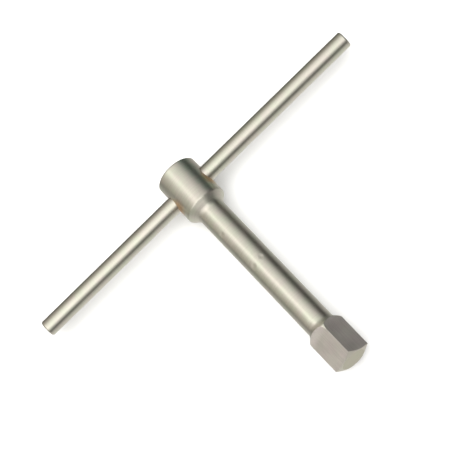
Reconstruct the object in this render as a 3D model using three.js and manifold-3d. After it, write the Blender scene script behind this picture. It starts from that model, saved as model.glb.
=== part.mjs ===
// T-handle square drive key. A key body turned from one bar carries a male square at one end and a
// cylindrical head at the other. A plain round cross bar slides through the head, a sprung ball under
// it keeps it where it is left, and a set screw closes the bore that the ball and spring go in by.
//
// Millimetres, +Z up. The tool lies flat on z = 0: the shank runs along Y with the square towards -Y,
// and the cross bar runs along X. The origin is under the middle of the whole tool.

import * as THREE from "three";
import { mergeVertices } from "three/addons/utils/BufferGeometryUtils.js";
import Module from "manifold-3d";

// ---- driving dimensions -------------------------------------------------------------------------

const KEY_LENGTH = 150;            // square's end face to the head's top face
const HEAD_DIAMETER = 25;
const HEAD_LENGTH = 27;            // straight part of the head, above its cone
const HEAD_CHAMFER = 0.8;
const SHANK_DIAMETER = 16.4;
const SHANK_FILLET = 4;            // where the shank runs into the head's cone
const CONE_EDGE_RADIUS = 1.2;      // where the cone meets the head's side

const SQUARE_ACROSS_FLATS = 16;
const SQUARE_LENGTH = 22;          // end face to the outer edge of the shoulder
const SQUARE_CORNER_DIAMETER = 22.5;
const SQUARE_TURN = 5;             // degrees that one corner is turned from straight up, towards +X
const FLATS_LENGTH = 18;           // end face to where the milling cutter lifts out of the flats
const CUTTER_RADIUS = 12;
const SHOULDER_FILLET = 4;
const END_FACE_DIAMETER = 14.8;
const END_CHAMFER_ANGLE = 20;      // degrees between the end chamfer and the end face

const BAR_DIAMETER = 10;
const BAR_LENGTH = 230;
const BAR_CHAMFER = 0.7;
const BAR_OFFSET = 4;              // how far the bar has been slid towards +X
const BAR_FROM_TOP = 13;           // bar's axis to the head's top face

const SCREW_THREAD_DIAMETER = 8;
const SCREW_LENGTH = 5.5;
const SCREW_SOCKET_ACROSS_FLATS = 4;
const SCREW_SOCKET_DEPTH = 3;
const SCREW_POINT = 1.2;           // height of the cone that the screw's point is turned to

const BORE_DIAMETER = 6.8;         // tapping drill for the screw's thread, run on below the bar
const BALL_DIAMETER = 6;
const SPRING_DIAMETER = 5.6;
const SPRING_WIRE = 0.9;
const SPRING_LENGTH = 12.5;
const SPRING_TURNS = 6;

const GAP = 0.3;                   // room between pieces that touch
const SLIDE_GAP = 0.25;            // room all round the bar in its hole
const ROUND_STEPS = 72;            // facets round the large turned shapes

// ---- places along the shank's axis, from the square's end face ----------------------------------

const BAR_Y = KEY_LENGTH - BAR_FROM_TOP;
const BALL_Y = BAR_Y - BAR_DIAMETER / 2 - GAP - BALL_DIAMETER / 2;
const SPRING_TOP_Y = BALL_Y - BALL_DIAMETER / 2 - GAP;
const BORE_FLOOR_Y = SPRING_TOP_Y - SPRING_LENGTH - GAP;
const SCREW_TOP_Y = KEY_LENGTH - 0.4;
const THREAD_FLOOR_Y = SCREW_TOP_Y - SCREW_LENGTH - GAP;

// ---- solids -------------------------------------------------------------------------------------

const wasm = await Module();
wasm.setup();

function toSolid(geometry) {
  const bare = geometry.index ? geometry.toNonIndexed() : geometry.clone();
  bare.deleteAttribute("normal");
  bare.deleteAttribute("uv");
  const merged = mergeVertices(bare, 1e-4);
  return new wasm.Manifold(new wasm.Mesh({
    numProp: 3,
    vertProperties: new Float32Array(merged.attributes.position.array),
    triVerts: new Uint32Array(merged.index.array),
  }));
}

function toGeometry(solid) {
  const mesh = solid.getMesh();
  const geometry = new THREE.BufferGeometry();
  geometry.setAttribute("position", new THREE.BufferAttribute(mesh.vertProperties, 3));
  geometry.setIndex(new THREE.BufferAttribute(mesh.triVerts, 1));
  geometry.computeVertexNormals();
  return geometry;
}

// A solid of revolution about Y from [radius, height] points, bottom to top, both ends on the axis.
function turned(outline, steps = ROUND_STEPS) {
  return new THREE.LatheGeometry(outline.map(([r, y]) => new THREE.Vector2(r, y)), steps);
}

// Points on an arc from one angle to another, in degrees, ends included.
function arc([centreR, centreY], radius, fromAngle, toAngle, steps) {
  return Array.from({ length: steps + 1 }, (_, i) => {
    const angle = THREE.MathUtils.degToRad(fromAngle + ((toAngle - fromAngle) * i) / steps);
    return [centreR + radius * Math.cos(angle), centreY + radius * Math.sin(angle)];
  });
}

// A prism along Y with a regular polygon section. One corner starts at +Z and turns towards +X.
function polygonPrism(sides, acrossFlats, yFrom, yTo, turn) {
  const cornerRadius = acrossFlats / 2 / Math.cos(Math.PI / sides);
  const shape = new THREE.Shape(Array.from({ length: sides }, (_, i) => {
    const angle = THREE.MathUtils.degToRad(turn) + (i * 2 * Math.PI) / sides;
    return new THREE.Vector2(cornerRadius * Math.sin(angle), -cornerRadius * Math.cos(angle));
  }));
  const prism = new THREE.ExtrudeGeometry(shape, { depth: yTo - yFrom, bevelEnabled: false });
  return prism.rotateX(-Math.PI / 2).translate(0, yFrom, 0);
}

// ---- key body: head, shank and square in one piece ----------------------------------------------

// What the milling of the four flats leaves: a square bar that widens where the cutter lifts out.
function flatsGeometry() {
  const half = SQUARE_ACROSS_FLATS / 2;
  const runOut = arc([half + CUTTER_RADIUS, FLATS_LENGTH], CUTTER_RADIUS, 180, 140, 8);
  const outline = [[half, -1], ...runOut].map(([distance, y]) => [distance * Math.SQRT2, y]);
  const closed = [[0, -1], ...outline, [0, runOut.at(-1)[1]]];
  return turned(closed, 4).rotateY(THREE.MathUtils.degToRad(SQUARE_TURN));
}

function keyBodyGeometry() {
  const shankR = SHANK_DIAMETER / 2;
  const headR = HEAD_DIAMETER / 2;
  const cornerR = SQUARE_CORNER_DIAMETER / 2;
  const endR = END_FACE_DIAMETER / 2;
  const headFloorY = KEY_LENGTH - HEAD_LENGTH;
  const coneY = headFloorY - (headR - shankR);
  const shoulderY = SQUARE_LENGTH + (cornerR - shankR);
  const chamferY = (cornerR - endR) * Math.tan(THREE.MathUtils.degToRad(END_CHAMFER_ANGLE));
  const shoulderFilletY = shoulderY + SHOULDER_FILLET * Math.tan(Math.PI / 8);

  // The fillet is tangent to the shank and to the 45 degree cone above it.
  const filletY = coneY - SHANK_FILLET * Math.tan(Math.PI / 8);
  const fillet = arc([shankR + SHANK_FILLET, filletY], SHANK_FILLET, 180, 135, 4);
  const coneEdgeY = headFloorY + CONE_EDGE_RADIUS * Math.tan(Math.PI / 8);
  const stem = toSolid(turned([
    [0, shoulderY - 1],
    [shankR, shoulderY - 1],
    ...fillet,
    ...arc([headR - CONE_EDGE_RADIUS, coneEdgeY], CONE_EDGE_RADIUS, -45, 0, 2),
    [headR, KEY_LENGTH - HEAD_CHAMFER],
    [headR - HEAD_CHAMFER, KEY_LENGTH],
    [0, KEY_LENGTH],
  ]));
  const driveBlank = toSolid(turned([
    [0, 0],
    [endR, 0],
    [cornerR, chamferY],
    [cornerR, SQUARE_LENGTH],
    ...arc([shankR + SHOULDER_FILLET, shoulderFilletY], SHOULDER_FILLET, 225, 180, 4),
    [0, shoulderFilletY],
  ]));

  const barHole = toSolid(turned([
    [0, -HEAD_DIAMETER],
    [BAR_DIAMETER / 2 + SLIDE_GAP, -HEAD_DIAMETER],
    [BAR_DIAMETER / 2 + SLIDE_GAP, HEAD_DIAMETER],
    [0, HEAD_DIAMETER],
  ], 48).rotateZ(-Math.PI / 2).translate(0, BAR_Y, 0));
  const threadR = SCREW_THREAD_DIAMETER / 2;
  const boreR = BORE_DIAMETER / 2;
  const drillPoint = boreR * Math.tan(THREE.MathUtils.degToRad(31));
  const axialBore = toSolid(turned([
    [0, BORE_FLOOR_Y - drillPoint],
    [boreR, BORE_FLOOR_Y],
    [boreR, THREAD_FLOOR_Y - (threadR - boreR)],
    [threadR, THREAD_FLOOR_Y],
    [threadR, KEY_LENGTH - 0.3],
    [threadR + 0.6, KEY_LENGTH + 0.3],
    [0, KEY_LENGTH + 0.3],
  ], 40));
  const drive = driveBlank.intersect(toSolid(flatsGeometry()));
  return toGeometry(stem.add(drive).subtract(barHole).subtract(axialBore));
}

// ---- the other pieces ---------------------------------------------------------------------------

function crossBarGeometry() {
  const r = BAR_DIAMETER / 2;
  const half = BAR_LENGTH / 2;
  return turned([
    [0, -half],
    [r - BAR_CHAMFER, -half],
    [r, -half + BAR_CHAMFER],
    [r, half - BAR_CHAMFER],
    [r - BAR_CHAMFER, half],
    [0, half],
  ], 48).rotateZ(-Math.PI / 2);
}

function detentBallGeometry() {
  return turned(arc([0, 0], BALL_DIAMETER / 2, -90, 90, 12), 24);
}

class SpringPath extends THREE.Curve {
  getPoint(t, target = new THREE.Vector3()) {
    const radius = (SPRING_DIAMETER - SPRING_WIRE) / 2;
    const angle = t * SPRING_TURNS * 2 * Math.PI;
    const rise = SPRING_WIRE / 2 + t * (SPRING_LENGTH - SPRING_WIRE);
    return target.set(radius * Math.cos(angle), rise, radius * Math.sin(angle));
  }
}

function detentSpringGeometry() {
  const wire = new THREE.Shape(arc([0, 0], SPRING_WIRE / 2, 0, 315, 7)
    .map(([x, y]) => new THREE.Vector2(x, y)));
  const steps = SPRING_TURNS * 16;
  return new THREE.ExtrudeGeometry(wire, { extrudePath: new SpringPath(), steps });
}

function plugScrewGeometry() {
  const r = SCREW_THREAD_DIAMETER / 2 - GAP;
  const edge = 0.5;
  const blank = toSolid(turned([
    [0, 0],
    [r - SCREW_POINT, 0],
    [r, SCREW_POINT],
    [r, SCREW_LENGTH - edge],
    [r - edge, SCREW_LENGTH],
    [0, SCREW_LENGTH],
  ], 40));
  const socketFloor = SCREW_LENGTH - SCREW_SOCKET_DEPTH;
  const socket = toSolid(polygonPrism(6, SCREW_SOCKET_ACROSS_FLATS, socketFloor, SCREW_LENGTH + 1, 0));
  return toGeometry(blank.subtract(socket));
}

// ---- assembly -----------------------------------------------------------------------------------

function piece(name, geometry, colour, roughness, position) {
  const material = new THREE.MeshStandardMaterial({ color: colour, roughness, metalness: 1 });
  const mesh = new THREE.Mesh(geometry, material);
  mesh.name = name;
  mesh.position.set(...position);
  return mesh;
}

const tool = new THREE.Group();
tool.position.set(-BAR_OFFSET, -KEY_LENGTH / 2, HEAD_DIAMETER / 2);
tool.add(
  piece("key_body", keyBodyGeometry(), 0xb9b3a4, 0.32, [0, 0, 0]),
  piece("cross_bar", crossBarGeometry(), 0xc4c0b0, 0.25, [BAR_OFFSET, BAR_Y, 0]),
  piece("detent_ball", detentBallGeometry(), 0xc8c8c8, 0.15, [0, BALL_Y, 0]),
  piece("detent_spring", detentSpringGeometry(), 0x8d8f92, 0.35, [0, SPRING_TOP_Y - SPRING_LENGTH, 0]),
  piece("plug_screw", plugScrewGeometry(), 0x35332f, 0.5, [0, SCREW_TOP_Y - SCREW_LENGTH, 0]),
);

export default tool;
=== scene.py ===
"""Looks for the T-handle square drive key: fine meshes, steel finishes, a pale floor and soft light.

Metres, in the CAD model's frame. The tool lies flat on z = 0 with its shank along Y, the square towards
-Y, and its cross bar along X.
"""
import math

import bmesh
import bpy
from mathutils import Matrix, Vector


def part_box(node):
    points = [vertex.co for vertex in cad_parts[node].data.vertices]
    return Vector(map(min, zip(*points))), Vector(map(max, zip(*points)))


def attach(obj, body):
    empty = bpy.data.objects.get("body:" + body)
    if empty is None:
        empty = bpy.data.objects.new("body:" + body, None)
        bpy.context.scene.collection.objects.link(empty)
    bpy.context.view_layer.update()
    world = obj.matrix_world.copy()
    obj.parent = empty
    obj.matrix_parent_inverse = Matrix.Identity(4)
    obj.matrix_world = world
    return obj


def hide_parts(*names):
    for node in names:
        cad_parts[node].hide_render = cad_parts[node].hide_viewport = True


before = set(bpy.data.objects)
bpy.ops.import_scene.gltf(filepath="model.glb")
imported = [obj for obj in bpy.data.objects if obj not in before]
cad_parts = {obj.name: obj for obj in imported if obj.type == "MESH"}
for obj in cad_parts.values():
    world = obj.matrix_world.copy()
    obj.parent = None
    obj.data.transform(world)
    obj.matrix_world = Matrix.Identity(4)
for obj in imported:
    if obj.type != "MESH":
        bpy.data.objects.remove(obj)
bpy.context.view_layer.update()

MM = 0.001

# ---- sizes from the frame -----------------------------------------------------------------------

KEY_LOW, KEY_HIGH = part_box("key_body")
BAR_LOW, BAR_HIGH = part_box("cross_bar")
BALL_LOW, BALL_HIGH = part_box("detent_ball")
SPRING_LOW, SPRING_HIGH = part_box("detent_spring")
SCREW_LOW, SCREW_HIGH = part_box("plug_screw")

AXIS_X = (KEY_LOW.x + KEY_HIGH.x) / 2      # the shank's axis
AXIS_Z = (KEY_LOW.z + KEY_HIGH.z) / 2
DRIVE_END_Y = KEY_LOW.y
KEY_LENGTH = KEY_HIGH.y - KEY_LOW.y
HEAD_R = (KEY_HIGH.x - KEY_LOW.x) / 2
BAR_R = (BAR_HIGH.z - BAR_LOW.z) / 2
BAR_Y = (BAR_LOW.y + BAR_HIGH.y) / 2 - DRIVE_END_Y     # along the shank, from the square's end face

# ---- sizes of the key body, along the shank from the square's end face ---------------------------

HEAD_LENGTH = 27 * MM
HEAD_CHAMFER = 0.8 * MM
SHANK_R = 8.2 * MM
SHANK_FILLET = 4 * MM
CONE_EDGE = 0.6 * MM                      # half the length of the worn edge between cone and head
FLAT_DISTANCE = 8 * MM                    # from the shank's axis to a flat of the square
FLATS_LENGTH = 18 * MM                    # to where the milling cutter lifts out of the flats
CUTTER_R = 12 * MM
CORNER_R = 11.25 * MM                     # the square's corners, turned before the flats are milled
SQUARE_LENGTH = 22 * MM
SQUARE_TURN = math.radians(5)             # of one corner from straight up, towards +X
SHOULDER_FILLET = 1.66 * MM               # half its length along the shank
END_FACE_R = 7.4 * MM
END_CHAMFER = math.radians(20)
EDGE = 0.16 * MM                          # worn radius along the square's corners
END_EDGE = 0.5 * MM                       # more wear round its end
HOLE_R = BAR_R + 0.25 * MM
HOLE_EDGE = 0.35 * MM                     # radius at the mouth of the bar's hole
BORE_R = 3.4 * MM
THREAD_R = 4 * MM
DRILL_POINT = math.radians(31)            # of a 118 degree drill's cone, from square across
GAP = 0.3 * MM                            # room between pieces that touch

# ---- camera -------------------------------------------------------------------------------------

CAMERA_AIM = Vector((-4.2, 37.0, 1.2)) * MM
CAMERA_DISTANCE = 1.043
CAMERA_AZIMUTH = math.radians(2.95)
CAMERA_ELEVATION = math.radians(65.5)
CAMERA_ROLL = math.radians(-47.0)
CAMERA_FIELD = math.radians(13.6)


def make_camera():
    """Looks down on the lying tool from past the square's end, with the picture turned by CAMERA_ROLL."""
    level = math.cos(CAMERA_ELEVATION)
    back = Vector((math.sin(CAMERA_AZIMUTH) * level, -math.cos(CAMERA_AZIMUTH) * level,
                   math.sin(CAMERA_ELEVATION)))
    data = bpy.data.cameras.new("camera")
    data.angle = CAMERA_FIELD
    data.clip_start = 0.05
    data.clip_end = 50
    camera = bpy.data.objects.new("camera", data)
    camera.location = CAMERA_AIM + back * CAMERA_DISTANCE
    turn = (-back).to_track_quat("-Z", "Y").to_matrix() @ Matrix.Rotation(CAMERA_ROLL, 3, "Z")
    camera.rotation_euler = turn.to_euler()
    bpy.context.collection.objects.link(camera)
    bpy.context.scene.camera = camera


make_camera()

# ---- mesh tools ---------------------------------------------------------------------------------


class Shell:
    """A surface made of closed rings of points joined by faces."""

    def __init__(self):
        self.points = []
        self.faces = []
        self.finishes = []

    def ring(self, points):
        """Adds points, and returns their numbers."""
        first = len(self.points)
        self.points += points
        return list(range(first, len(self.points)))

    def face(self, corners, finish=0):
        self.faces.append(corners)
        self.finishes.append(finish)

    def join(self, low, high, finish=0):
        """A band of faces between two rings with as many points."""
        count = len(low)
        for i in range(count):
            j = (i + 1) % count
            self.face((low[i], low[j], high[j], high[i]), finish)

    def cap(self, ring, centre, finish=0):
        """A fan of faces from a ring to one point."""
        middle = self.ring([centre])[0]
        for i, corner in enumerate(ring):
            self.face((corner, ring[(i + 1) % len(ring)], middle), finish)

    def build(self, name, sharp_angle=50):
        mesh = bpy.data.meshes.new(name)
        mesh.from_pydata(self.points, [], self.faces)
        mesh.polygons.foreach_set("material_index", self.finishes)
        smooth_shade(mesh, sharp_angle)
        piece = bpy.data.objects.new(name, mesh)
        bpy.context.collection.objects.link(piece)
        return piece


def smooth_shade(mesh, sharp_angle):
    """Faces point outwards and shade smoothly across all but the sharp edges."""
    soup = bmesh.new()
    soup.from_mesh(mesh)
    bmesh.ops.recalc_face_normals(soup, faces=soup.faces)
    soup.to_mesh(mesh)
    soup.free()
    mesh.shade_smooth()
    mesh.set_sharp_from_angle(angle=math.radians(sharp_angle))


def around_shank(radius, angle, along):
    """A point at that radius and angle from the shank's axis. Angle 0 is +Z, a quarter turn is +X."""
    return Vector((AXIS_X + radius * math.sin(angle), DRIVE_END_Y + along,
                   AXIS_Z + radius * math.cos(angle)))


def around_bar(radius, angle, x):
    """A point at that radius and angle from the cross bar's axis. Angle 0 is +Y, a quarter turn is +Z."""
    return Vector((x, DRIVE_END_Y + BAR_Y + radius * math.cos(angle), AXIS_Z + radius * math.sin(angle)))


def turned(name, outline, place, columns=96):
    """A turned piece from [radius, along] points with both ends on its axis."""
    shell = Shell()
    angles = [2 * math.pi * i / columns for i in range(columns)]
    rings = [shell.ring([place(radius, a, along) for a in angles]) for radius, along in outline[1:-1]]
    for low, high in zip(rings, rings[1:]):
        shell.join(low, high)
    shell.cap(rings[0], place(0, 0, outline[0][1]))
    shell.cap(rings[-1], place(0, 0, outline[-1][1]))
    return shell.build(name)


def steps(start, end, count):
    """count equal steps from start to end, without the end."""
    return [start + (end - start) * i / count for i in range(count)]


def eased_corner(before, corner, after, radius, count=4):
    """The corner of an outline, rounded to about that radius."""
    corner = Vector(corner)
    start = corner + (Vector(before) - corner).normalized() * radius
    end = corner + (Vector(after) - corner).normalized() * radius
    points = []
    for i in range(count + 1):
        t = i / count
        points.append(start * (1 - t) ** 2 + corner * 2 * t * (1 - t) + end * t ** 2)
    return [tuple(p) for p in points]


def eased(outline, radius):
    """An outline with every corner but its ends rounded to about that radius."""
    points = [outline[0]]
    for before, corner, after in zip(outline, outline[1:], outline[2:]):
        points += eased_corner(before, corner, after, radius)
    return points + [outline[-1]]


def soft_min(a, b, width):
    """The smaller of two sizes, with the change from one to the other rounded over width."""
    h = max(width - abs(a - b), 0) / width
    return min(a, b) - h * h * width / 4


def cut(piece, tool):
    """Cuts the closed mesh tool out of piece, and drops tool."""
    change = piece.modifiers.new("cut", "BOOLEAN")
    change.operation = "DIFFERENCE"
    change.solver = "EXACT"
    change.object = tool
    view = bpy.context.evaluated_depsgraph_get()
    mesh = bpy.data.meshes.new_from_object(piece.evaluated_get(view))
    piece.modifiers.clear()
    old, piece.data = piece.data, mesh
    mesh.name = piece.name
    bpy.data.meshes.remove(old)
    bpy.data.objects.remove(tool)


# ---- key body -----------------------------------------------------------------------------------

COLUMNS = 256
WINDOW = 24                                # columns from the middle of a hole's window to its side
WINDOW_HALF = 7 * MM                       # from the bar's axis to the window's rows at its ends
SHOULDER_TOP = SQUARE_LENGTH + CORNER_R - SHANK_R
DRIVE_ROWS_END = SHOULDER_TOP + 3 * MM
SHANK_ROWS_START = SHOULDER_TOP + 4 * MM
RIM_EASE = 0.25 * MM                       # worn edges on both sides of the head's chamfer
CHAMFER_LENGTH = (CORNER_R - END_FACE_R) * math.tan(END_CHAMFER)
HEAD_FLOOR = KEY_LENGTH - HEAD_LENGTH
CONE_FLOOR = HEAD_FLOOR - (HEAD_R - SHANK_R)
TURNED, MILLED, END_TURNED, CHAMFERED = range(4)


def even_angles():
    """Column angles of the shank and head."""
    return [2 * math.pi * i / COLUMNS for i in range(COLUMNS)]


def square_angles():
    """Column angles that crowd towards the square's four corners. Each flat has a quarter of them."""
    per_flat = COLUMNS // 4
    angles = []
    for flat in range(4):
        middle = SQUARE_TURN + math.pi / 4 + flat * math.pi / 2
        for i in range(per_flat):
            u = 2 * i / per_flat - 1
            crowded = 0.4 * u + 0.6 * math.sin(u * math.pi / 2)
            angles.append(middle + crowded * math.pi / 4)
    return angles


def from_flat(angle):
    """The angle between a direction and the middle of the flat it meets."""
    quarter = math.pi / 2
    return (angle - SQUARE_TURN) % quarter - quarter / 2


def drive_blank_radius(along):
    """The turned blank that the square is milled from, with its end chamfer and shoulder cone."""
    end = END_FACE_R + along / math.tan(END_CHAMFER)
    shoulder = SHANK_R + max(SHOULDER_TOP - along, 0)
    if along > SHOULDER_TOP - SHOULDER_FILLET:
        lift = max(SHOULDER_TOP + SHOULDER_FILLET - along, 0) / (2 * SHOULDER_FILLET)
        shoulder = SHANK_R + lift * lift * SHOULDER_FILLET
    return soft_min(soft_min(end, CORNER_R, EDGE), shoulder, EDGE * 2)


def flat_radius(angle, along):
    """A flat of the square, which the milling cutter leaves on a curve."""
    run_out = min(max(along - FLATS_LENGTH, 0), CUTTER_R * 0.99)
    distance = FLAT_DISTANCE + CUTTER_R - math.sqrt(CUTTER_R ** 2 - run_out ** 2)
    return distance / math.cos(from_flat(angle))


def drive_radius(angle, along):
    """From the axis to the square's surface. The edge between chamfer and flats is worn more."""
    width = EDGE + END_EDGE * min(max(1 - along / CHAMFER_LENGTH, 0), 1)
    return soft_min(drive_blank_radius(along), flat_radius(angle, along), width)


def drive_rows():
    """Rows along the square, close together at the end chamfer and at the shoulder."""
    chamfer_end = CHAMFER_LENGTH + EDGE * 2
    run_out_start = FLATS_LENGTH - 1 * MM
    rows = steps(0, chamfer_end, 48) + steps(chamfer_end, run_out_start, 16)
    return rows + steps(run_out_start, DRIVE_ROWS_END, 80)


def drive_finish(along, on_flat):
    """The finish of the square's side, shoulder or end chamfer, that far along it."""
    if along < CHAMFER_LENGTH and not on_flat:
        return CHAMFERED
    return MILLED if on_flat or along < FLATS_LENGTH else TURNED


def drive_section(shell):
    """The square and its shoulder, from the middle of the end face to the start of the plain shank."""
    angles = square_angles()
    rings = [shell.ring([around_shank(drive_radius(a, 0) * part, a, 0) for a in angles])
             for part in (0.25, 0.5, 0.75, 0.95, 0.99)]
    shell.cap(rings[0], around_shank(0, 0, 0), END_TURNED)
    for low, high in zip(rings, rings[1:]):
        shell.join(low, high, END_TURNED)
    last = rings[-1]
    for along in drive_rows():
        blank = drive_blank_radius(along)
        flats = [flat_radius(a, along) for a in angles]
        ring = shell.ring([around_shank(drive_radius(a, along), a, along) for a in angles])
        for i in range(COLUMNS):
            j = (i + 1) % COLUMNS
            finish = drive_finish(along, (flats[i] + flats[j]) / 2 < blank and along > 0)
            shell.face((last[i], last[j], ring[j], ring[i]), finish)
        last = ring
    return last


def head_outline():
    """Shank, cone and head up to the window's first row, as [radius, along]."""
    fillet_at = CONE_FLOOR - SHANK_FILLET * math.tan(math.pi / 8)
    outline = [(SHANK_R, along) for along in steps(SHANK_ROWS_START, fillet_at, 14)]
    for a in steps(0, math.pi / 4, 8) + [math.pi / 4]:
        outline.append((SHANK_R + SHANK_FILLET * (1 - math.cos(a)), fillet_at + SHANK_FILLET * math.sin(a)))
    outline += eased_corner(outline[-1], (HEAD_R, HEAD_FLOOR), (HEAD_R, KEY_LENGTH), CONE_EDGE, 6)
    return outline + [(HEAD_R, along) for along in steps(HEAD_FLOOR + 1 * MM, BAR_Y - WINDOW_HALF, 6)]


def top_outline():
    """Head above the window, its chamfer and its end face."""
    rim = (HEAD_R, KEY_LENGTH - HEAD_CHAMFER)
    face_rim = (HEAD_R - HEAD_CHAMFER, KEY_LENGTH)
    outline = [(HEAD_R, along) for along in steps(BAR_Y + WINDOW_HALF, rim[1] - 0.3 * MM, 8)[1:]]
    outline += eased_corner((HEAD_R, 0), rim, face_rim, RIM_EASE)
    outline += eased_corner(rim, face_rim, (0, KEY_LENGTH), RIM_EASE)
    return outline + [(r * MM, KEY_LENGTH) for r in (10, 8, 6, 2)]


def window_loop(rings, columns):
    """The grid points round a hole's window, in the same turning sense for both holes."""
    loop = [rings[0][c] for c in columns[:-1]]
    loop += [ring[columns[-1]] for ring in rings[:-1]]
    loop += [rings[-1][c] for c in reversed(columns[1:])]
    loop += [ring[columns[0]] for ring in reversed(rings[1:])]
    return loop


def hole_mouth(shell, loop, side):
    """From the window in the head to the start of the hole's wall, round its worn edge."""
    middle = Vector((AXIS_Z, DRIVE_END_Y + BAR_Y))
    across = [Vector((shell.points[i].z, shell.points[i].y)) - middle for i in loop]

    def on_head(offset, sink):
        x = AXIS_X + side * (math.sqrt(HEAD_R ** 2 - offset.x ** 2) - sink)
        return Vector((x, middle.y + offset.y, middle.x + offset.x))

    last = loop
    spread = 8
    for k in range(1, spread + 1):
        t = (k / spread) ** 0.8            # rows a little closer together at the hole
        ring = [on_head(p.lerp(p.normalized() * (HOLE_R + HOLE_EDGE), t), 0) for p in across]
        last = join_new(shell, last, ring)
    rounds = 6
    for k in range(1, rounds + 1):
        a = math.pi / 2 * k / rounds
        out = HOLE_R + HOLE_EDGE * (1 - math.sin(a))
        ring = [on_head(p.normalized() * out, HOLE_EDGE * (1 - math.cos(a))) for p in across]
        last = join_new(shell, last, ring)
    return last


def join_new(shell, last, points):
    """Adds a ring, joins it to the last one and returns it."""
    ring = shell.ring(points)
    shell.join(last, ring)
    return ring


def bar_hole(shell, rings):
    """The cross hole, from one side of the head through to the other."""
    quarter = COLUMNS // 4
    right = list(range(quarter - WINDOW, quarter + WINDOW + 1))
    left = list(range(3 * quarter + WINDOW, 3 * quarter - WINDOW - 1, -1))
    right_wall = hole_mouth(shell, window_loop(rings, right), 1)
    left_wall = hole_mouth(shell, window_loop(rings, left), -1)
    last = right_wall
    wall_steps = 12
    for k in range(1, wall_steps):
        ring = [shell.points[a].lerp(shell.points[b], k / wall_steps)
                for a, b in zip(right_wall, left_wall)]
        last = join_new(shell, last, ring)
    shell.join(last, left_wall)


def key_body_mesh():
    """Square, shank and head with the cross hole, as one closed surface. The axial bore is cut later."""
    shell = Shell()
    last = drive_section(shell)
    angles = even_angles()
    for radius, along in head_outline():
        last = join_new(shell, last, [around_shank(radius, a, along) for a in angles])

    rows = steps(BAR_Y - WINDOW_HALF, BAR_Y + WINDOW_HALF, 2 * WINDOW) + [BAR_Y + WINDOW_HALF]
    rings = [shell.ring([around_shank(HEAD_R, a, along) for a in angles]) for along in rows]
    shell.join(last, rings[0])
    quarter = COLUMNS // 4
    for low, high in zip(rings, rings[1:]):
        for i in range(COLUMNS):
            if min(abs(i + 0.5 - quarter), abs(i + 0.5 - 3 * quarter)) > WINDOW:
                j = (i + 1) % COLUMNS
                shell.face((low[i], low[j], high[j], high[i]))
    bar_hole(shell, rings)

    last = rings[-1]
    for radius, along in top_outline():
        last = join_new(shell, last, [around_shank(radius, a, along) for a in angles])
    shell.cap(last, around_shank(0, 0, KEY_LENGTH))
    return shell.build("key_body_fine", 40)


def axial_bore_tool():
    """What the drill and tap take out of the head, from the bore's floor to its mouth."""
    floor = SPRING_LOW.y - DRIVE_END_Y - GAP
    thread_floor = SCREW_LOW.y - DRIVE_END_Y - GAP
    mouth = 0.3 * MM
    return turned("bore_tool", [
        (0, floor - BORE_R * math.tan(DRILL_POINT)),
        (BORE_R, floor),
        (BORE_R, thread_floor - (THREAD_R - BORE_R)),
        (THREAD_R, thread_floor),
        (THREAD_R, KEY_LENGTH - mouth),
        (THREAD_R + 2 * mouth, KEY_LENGTH + mouth),
        (0, KEY_LENGTH + mouth),
    ], around_shank)


# ---- the other pieces ---------------------------------------------------------------------------

def cross_bar_mesh():
    chamfer = 0.7 * MM
    worn_edge = 0.2 * MM
    outline = [
        (0, BAR_LOW.x),
        (BAR_R - chamfer, BAR_LOW.x),
        (BAR_R, BAR_LOW.x + chamfer),
        (BAR_R, BAR_HIGH.x - chamfer),
        (BAR_R - chamfer, BAR_HIGH.x),
        (0, BAR_HIGH.x),
    ]
    return turned("cross_bar_fine", eased(outline, worn_edge), around_bar, 128)


def detent_ball_mesh():
    centre = (BALL_HIGH.y + BALL_LOW.y) / 2 - DRIVE_END_Y
    radius = (BALL_HIGH.y - BALL_LOW.y) / 2
    count = 48
    outline = [(radius * math.sin(math.pi * i / count), centre - radius * math.cos(math.pi * i / count))
               for i in range(count + 1)]
    return turned("detent_ball_fine", outline, around_shank)


def detent_spring_mesh():
    """A compression spring with closed ends, its last turns lying on each other."""
    wire = 0.45 * MM                       # its radius
    coil = (SPRING_HIGH.x - SPRING_LOW.x) / 2 - wire
    bottom = SPRING_LOW.y - DRIVE_END_Y + wire
    top = SPRING_HIGH.y - DRIVE_END_Y - wire
    turns = 7
    closed = 1 / turns                     # share of the wire in the closed turn at each end
    closed_rise = 2 * wire * 1.05
    shell = Shell()
    last = None
    count = turns * 48
    for k in range(count + 1):
        t = k / count
        if t < closed:
            along = bottom + closed_rise * t / closed
        elif t > 1 - closed:
            along = top - closed_rise * (1 - t) / closed
        else:
            u = (t - closed) / (1 - 2 * closed)
            along = bottom + closed_rise + (top - bottom - 2 * closed_rise) * u
        spin = 2 * math.pi * turns * t
        ring = []
        for i in range(16):
            a = 2 * math.pi * i / 16
            ring.append(around_shank(coil + wire * math.cos(a), spin, along + wire * math.sin(a)))
        ring = shell.ring(ring)
        if last:
            shell.join(last, ring)
        else:
            shell.cap(ring, around_shank(coil, spin, along))
        last = ring
    shell.cap(last, around_shank(coil, spin, along))
    return shell.build("detent_spring_fine")


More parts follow.
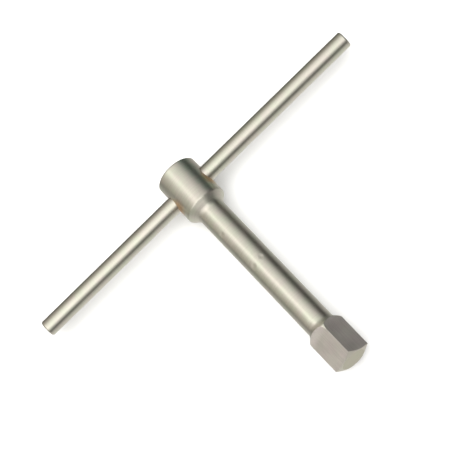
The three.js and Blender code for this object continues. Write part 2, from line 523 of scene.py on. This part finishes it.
def plug_screw_mesh():
    """A set screw with a real helical thread, a cone point and a hexagon socket."""
    low = SCREW_LOW.y - DRIVE_END_Y
    high = SCREW_HIGH.y - DRIVE_END_Y
    crest = (SCREW_HIGH.x - SCREW_LOW.x) / 2
    pitch = 1.25 * MM
    depth = 0.5 * MM
    root_width = 1.4                       # over 1 leaves a flat root between the turns
    point = 1.2 * MM
    chamfer = 0.5 * MM
    worn_edge = 0.1 * MM
    shell = Shell()
    columns = 96
    angles = [2 * math.pi * i / columns for i in range(columns)]
    rows = 90
    last = None
    for k in range(rows + 1):
        along = low + (high - low) * k / rows
        ring = []
        for a in angles:
            phase = (along / pitch - a / (2 * math.pi)) % 1
            thread = crest - depth * min(abs(2 * phase - 1) * root_width, 1)
            ends = crest - max(low + point - along, 0) - max(along - high + chamfer, 0)
            ring.append(around_shank(soft_min(thread, ends, worn_edge), a, along))
        ring = shell.ring(ring)
        if last:
            shell.join(last, ring)
        else:
            shell.cap(ring, around_shank(0, 0, along))
        last = ring
    shell.cap(last, around_shank(0, 0, high))
    screw = shell.build("plug_screw_fine", 35)
    cut(screw, socket_tool(high))
    return screw


def socket_tool(mouth):
    """What the broach takes out of the screw: a hexagon with a chamfered mouth and a drilled floor."""
    across_flats = 4 * MM
    corner = across_flats / 2 / math.cos(math.pi / 6)
    depth = 3 * MM
    shell = Shell()
    angles = [math.pi / 3 * i for i in range(6)]
    rings = [shell.ring([around_shank(r, a, mouth + along) for a in angles])
             for r, along in ((corner, -depth), (corner, -0.2 * MM), (corner + 0.3 * MM, 0.1 * MM))]
    shell.cap(rings[0], around_shank(0, 0, mouth - depth - corner / 3))
    for one, other in zip(rings, rings[1:]):
        shell.join(one, other)
    shell.cap(rings[-1], around_shank(0, 0, mouth + 0.1 * MM))
    return shell.build("socket_tool")


# ---- finishes -----------------------------------------------------------------------------------

class Nodes:
    """Short ways to add nodes to a node tree."""

    def __init__(self, tree):
        self.tree = tree

    def node(self, kind, **settings):
        node = self.tree.nodes.new(kind)
        for key, value in settings.items():
            setattr(node, key, value)
        return node

    def wire(self, source, target):
        self.tree.links.new(source, target)

    def feed(self, sockets, values):
        """Sets each socket to a number or vector, or links it to an output."""
        for socket, value in zip(sockets, values):
            if isinstance(value, bpy.types.NodeSocket):
                self.wire(value, socket)
            else:
                socket.default_value = value

    def math(self, operation, *values):
        node = self.node("ShaderNodeMath", operation=operation)
        self.feed(node.inputs, values)
        return node.outputs["Value"]

    def vector(self, operation, *values, output="Vector"):
        node = self.node("ShaderNodeVectorMath", operation=operation)
        self.feed(node.inputs, values)
        return node.outputs[output]

    def scaled(self, colour, factor):
        node = self.node("ShaderNodeVectorMath", operation="SCALE")
        node.inputs["Vector"].default_value = colour
        self.wire(factor, node.inputs["Scale"])
        return node.outputs["Vector"]

    def ramp(self, value, low, high, to_low, to_high):
        node = self.node("ShaderNodeMapRange")
        self.feed([node.inputs[name] for name in ("Value", "From Min", "From Max", "To Min", "To Max")],
                  (value, low, high, to_low, to_high))
        return node.outputs["Result"]


ANISOTROPY = 0.815
ANISOTROPY_TURN = 0.25                     # a quarter turn, so that reflections stretch across the marks


class Finish(Nodes):
    """A steel material under construction."""

    def __init__(self, name, grain_round=None):
        """grain_round is the axis that fine tool marks run round. They stretch reflections along it."""
        self.material = bpy.data.materials.new(name)
        self.material.use_nodes = True
        super().__init__(self.material.node_tree)
        self.shader = self.tree.nodes["Principled BSDF"]
        self.shader.inputs["Metallic"].default_value = 1.0
        if grain_round:
            self.shader.inputs["Anisotropic"].default_value = ANISOTROPY
            self.shader.inputs["Anisotropic Rotation"].default_value = ANISOTROPY_TURN
            tangent = self.node("ShaderNodeTangent", direction_type="RADIAL", axis=grain_round)
            self.wire(tangent.outputs["Tangent"], self.shader.inputs["Tangent"])
        self.place = self.node("ShaderNodeTexCoord").outputs["Object"]

    def noise(self, scale, stretch=(1, 1, 1), detail=4.0, roughness=0.6):
        """Noise with that many lumps a metre, times stretch along each axis."""
        mapping = self.node("ShaderNodeMapping")
        mapping.inputs["Scale"].default_value = [scale * s for s in stretch]
        self.wire(self.place, mapping.inputs["Vector"])
        noise = self.node("ShaderNodeTexNoise")
        noise.inputs["Scale"].default_value = 1.0
        noise.inputs["Detail"].default_value = detail
        noise.inputs["Roughness"].default_value = roughness
        self.wire(mapping.outputs["Vector"], noise.inputs["Vector"])
        return noise.outputs["Fac"]

    def blend(self, value, dark, light):
        """Between two colours, from dark where value is 0 to light where it is 1."""
        node = self.node("ShaderNodeMix", data_type="RGBA")
        node.inputs["A"].default_value = (*dark, 1)
        node.inputs["B"].default_value = (*light, 1)
        self.wire(value, node.inputs["Factor"])
        return node.outputs["Result"]

    def bumps(self, *layers):
        """Each layer is (height, strength, depth in metres)."""
        normal = None
        for height, strength, depth in layers:
            node = self.node("ShaderNodeBump")
            node.inputs["Strength"].default_value = strength
            node.inputs["Distance"].default_value = depth
            self.wire(height, node.inputs["Height"])
            if normal:
                self.wire(normal, node.inputs["Normal"])
            normal = node.outputs["Normal"]
        self.wire(normal, self.shader.inputs["Normal"])


PINKISH = (0.025, -0.015, 0.0)             # changes of colour
GREENISH = (-0.02, 0.015, -0.03)
DENT_DEPTH = 0.2 * MM


def worked_steel(name, colour, roughness, grain, lines, mottle=0.08, spread=0.05, grain_round=None,
                 tints=1.0, stains_and_reflections=(), dents=()):
    """Steel with fine tool lines. grain is the stretch of the lines, and lines their depth in metres.

    tints is how strongly the colour wanders between pinkish and greenish. A colour mark (a stain, a painted
    reflection, or a stain with a painted reflection on it) is its kind, its reach and the middles it
    spreads from, and a shallow dent is its middle and its reach.
    """
    finish = Finish(name, grain_round)
    fine = finish.noise(9000, grain, 3.0, 0.7)
    broad = finish.noise(1500, grain, 4.0, 0.65)
    cloud = finish.noise(60, (1, 1, 1), 5.0, 0.6)
    tone = finish.ramp(finish.math("ADD", broad, cloud), 0.7, 1.3, 0, 1)
    hue = finish.ramp(finish.noise(150, (1, 1, 1), 3.0, 0.5), 0.36, 0.64, 0, 1)
    pinkish = [c * (1 + tints * shift) for c, shift in zip(colour, PINKISH)]
    greenish = [c * (1 + tints * shift) for c, shift in zip(colour, GREENISH)]
    tinted = finish.blend(hue, pinkish, greenish)
    base = finish.vector("MULTIPLY", tinted, finish.ramp(tone, 0, 1, 1 - mottle, 1 + mottle))
    rough = finish.math("ADD", finish.ramp(cloud, 0.3, 0.7, -spread, spread),
                        finish.ramp(broad, 0.3, 0.7, roughness - spread / 2, roughness + spread / 2))
    # each mark tints the colour and dulls the roughness: real stains, and painted reflections laid into the
    # colour
    for (shift, dulling), reach, middles in stains_and_reflections:
        stain_and_reflection_mask = 0.0
        for middle in middles:
            away = finish.math("ADD", finish.vector("DISTANCE", finish.place, middle, output="Value"),
                               finish.ramp(cloud, 0.3, 0.7, -reach / 6, reach / 6))
            stain_and_reflection_mask = finish.math("MAXIMUM", finish.ramp(away, reach * 0.4, reach, 1, 0), stain_and_reflection_mask)
        stain_and_reflection_tint = finish.vector("ADD", finish.scaled(shift, stain_and_reflection_mask), (1, 1, 1))
        base = finish.vector("MULTIPLY", base, stain_and_reflection_tint)
        rough = finish.math("ADD", rough, finish.math("MULTIPLY", stain_and_reflection_mask, dulling))
    finish.wire(base, finish.shader.inputs["Base Color"])
    finish.wire(rough, finish.shader.inputs["Roughness"])
    layers = [(fine, 0.5, lines), (broad, 0.5, lines * 2)]
    for middle, reach in dents:
        away = finish.vector("DISTANCE", finish.place, middle, output="Value")
        pit = finish.ramp(away, 0, reach, 0, 1)
        pit.node.interpolation_type = "SMOOTHSTEP"
        layers.append((pit, 1.0, DENT_DEPTH))
    finish.bumps(*layers)
    return finish.material


WARM = (0.685, 0.665, 0.575)               # plating with a pale yellow tint
BAR_AT = Vector((AXIS_X, DRIVE_END_Y + BAR_Y, AXIS_Z))
# brown by the cross hole: brown staining of the plating, with a painted reflection of the cross bar's lit
# side
BROWN_STAIN_AND_REFLECTION = (-0.06, -0.30, -0.48), 0.2         # change of colour and of roughness
# teal along the head: a painted reflection tint where the head's dark reflection band falls
TEAL_REFLECTION_TINT = (-0.15, -0.01, -0.05), 0.0
STAINS_AND_REFLECTIONS = [
    # brown by the cross hole's mouths: brown staining of the plating, partly a painted reflection of the
    # cross bar's lit side in the head
    (BROWN_STAIN_AND_REFLECTION, 6.5 * MM, [BAR_AT + Vector((side * 11, -5, 4)) * MM for side in (-1, 1)]),
    # a painted teal reflection tint along the head's dark reflection band, standing for the plating's
    # rainbow film
    (TEAL_REFLECTION_TINT, 5 * MM, [BAR_AT + Vector((8.2, along, 9.4)) * MM for along in (11, 6, 1, -5, -10)]),
]
DENTS = [                                  # knocks on the shank
    (BAR_AT + Vector((-4.6, -36, 6.8)) * MM, 2.2 * MM),
    (BAR_AT + Vector((-4.0, -62.5, 7.2)) * MM, 2.4 * MM),
    (BAR_AT + Vector((2.5, -61.5, 7.8)) * MM, 2.1 * MM),
]
FINISHES = {
    "turned": worked_steel("turned_steel", WARM, 0.394, (0.01, 1, 0.01), 0.1e-6, grain_round="Y",
                           stains_and_reflections=STAINS_AND_REFLECTIONS, dents=DENTS),
    "milled": worked_steel("milled_steel", (0.78, 0.73, 0.685), 0.48, (1, 0.05, 1), 0.6e-6,
                           mottle=0.1, tints=0.5),
    "chamfer": worked_steel("chamfer_steel", (0.675, 0.64, 0.56), 0.44, (1, 1, 1), 0.4e-6, tints=0.5),
    "end": worked_steel("end_turned_steel", (0.54, 0.51, 0.41), 0.40, (1, 1, 1), 0.4e-6, tints=0.5),
    "drawn": worked_steel("drawn_steel", WARM, 0.394, (1, 0.01, 0.01), 0.1e-6, grain_round="X"),
    "ball": worked_steel("ball_steel", (0.75, 0.75, 0.75), 0.08, (1, 1, 1), 0.2e-6,
                         mottle=0.02, spread=0.02, tints=0),
    "spring": worked_steel("spring_steel", (0.42, 0.42, 0.43), 0.35, (1, 1, 1), 2e-6),
    "screw": worked_steel("black_steel", (0.07, 0.065, 0.06), 0.45, (1, 1, 1), 3e-6),
}


def place(piece, node, body, slot, finishes):
    """Puts a piece in a CAD node's place, on its body and with its finishes."""
    for name in finishes:
        piece.data.materials.append(FINISHES[name])
    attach(piece, body)
    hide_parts(node)


key_body = key_body_mesh()
cut(key_body, axial_bore_tool())
smooth_shade(key_body.data, 40)
place(key_body, "key_body", "key", "key_steel", ["turned", "milled", "end", "chamfer"])
place(cross_bar_mesh(), "cross_bar", "bar", "bar_steel", ["drawn"])
place(detent_ball_mesh(), "detent_ball", "key", "ball_steel", ["ball"])
place(detent_spring_mesh(), "detent_spring", "key", "spring_steel", ["spring"])
place(plug_screw_mesh(), "plug_screw", "key", "screw_steel", ["screw"])

# ---- stage and light ----------------------------------------------------------------------------

def make_floor():
    """A pale floor that stays out of the tool's reflections. The room's BOUNCE stands in for it there."""
    size = 6.0
    mesh = bpy.data.meshes.new("floor")
    mesh.from_pydata([(-size, -size, 0), (size, -size, 0), (size, size, 0), (-size, size, 0)], [],
                     [(0, 1, 2, 3)])
    floor = bpy.data.objects.new("floor", mesh)
    bpy.context.collection.objects.link(floor)
    material = bpy.data.materials.new("pale_floor")
    material.use_nodes = True
    shader = material.node_tree.nodes["Principled BSDF"]
    shader.inputs["Base Color"].default_value = (0.93, 0.93, 0.92, 1)
    shader.inputs["Roughness"].default_value = 0.9
    shader.inputs["Specular IOR Level"].default_value = 0.1
    mesh.materials.append(material)
    floor.visible_glossy = False


SOFT_LIGHTS = [                            # brightness, tilt east and north in degrees, narrowness each way
    (0.3, (-17, 20), (60, 3)),
    (1.6, (-36, -22), (4.1, 5.5)),
    (0.86, (32, 17), (4.7, 3.8)),
    (1.2, (-21, 13), (11, 5.3)),
    (1.6, (6.5, -23), (12, 3.6)),
]
WALLS = (0.09, (-0.30, 0.23, 0))           # brightness, and how it changes with direction
WALL_COLOUR = (1.04, 0.99, 0.88)
BOUNCE = (0.22, (-0.05, -0.22, -0.6))      # the same for the light that comes up from the table
TABLE_COLOUR = (1.0, 1.0, 0.97)
FLOOR_LIGHT = 2.2
FLOOR_LIGHT_SPREAD = math.radians(110)


def make_room():
    """A studio of broad soft lights overhead, with dim walls."""
    world = bpy.data.worlds.new("room")
    world.use_nodes = True
    nodes = Nodes(world.node_tree)
    way = nodes.node("ShaderNodeTexCoord").outputs["Generated"]

    def dot(axis):
        return nodes.vector("DOT_PRODUCT", way, axis, output="Value")

    def sloping(brightness, slope):
        return nodes.math("MAXIMUM", nodes.math("ADD", dot(slope), brightness), 0.0)

    def off_centre(axis, narrowness):
        side = dot(axis)
        return nodes.math("MULTIPLY", nodes.math("MULTIPLY", side, side), narrowness)

    lamps = 0.0
    for brightness, (east, north), (narrow_x, narrow_y) in SOFT_LIGHTS:
        east, north = math.radians(east), math.radians(north)
        x_axis = Vector((math.cos(east), 0, -math.sin(east)))
        centre = Vector((math.sin(east) * math.cos(north), math.sin(north),
                         math.cos(east) * math.cos(north)))
        y_axis = centre.cross(x_axis)
        off = nodes.math("ADD", off_centre(x_axis, narrow_x), off_centre(y_axis, narrow_y))
        fall = nodes.math("EXPONENT", nodes.math("MULTIPLY", off, -1.0))
        front = nodes.math("GREATER_THAN", dot(centre), 0.0)
        lamp = nodes.math("MULTIPLY", nodes.math("MULTIPLY", fall, front), brightness)
        lamps = nodes.math("ADD", lamp, lamps)
    walls = nodes.scaled(WALL_COLOUR, sloping(*WALLS))
    above = nodes.vector("ADD", walls, nodes.scaled((1, 1, 1), lamps))
    below = nodes.scaled(TABLE_COLOUR, sloping(*BOUNCE))
    mix = nodes.node("ShaderNodeMix", data_type="VECTOR")
    nodes.wire(nodes.ramp(dot((0, 0, 1)), -0.03, 0.03, 0.0, 1.0), mix.inputs["Factor"])
    nodes.wire(below, mix.inputs["A"])
    nodes.wire(above, mix.inputs["B"])
    background = world.node_tree.nodes["Background"]
    nodes.wire(mix.outputs["Result"], background.inputs["Color"])
    background.inputs["Strength"].default_value = 1.0
    bpy.context.scene.world = world


def make_floor_light():
    """Lights the floor, and stays out of the tool's reflections."""
    data = bpy.data.lights.new("floor_light", "SUN")
    data.energy = FLOOR_LIGHT
    data.angle = FLOOR_LIGHT_SPREAD
    sun = bpy.data.objects.new("floor_light", data)
    sun.visible_glossy = False
    bpy.context.collection.objects.link(sun)
    bpy.context.scene.view_settings.view_transform = "Standard"


make_floor()
make_room()
make_floor_light()
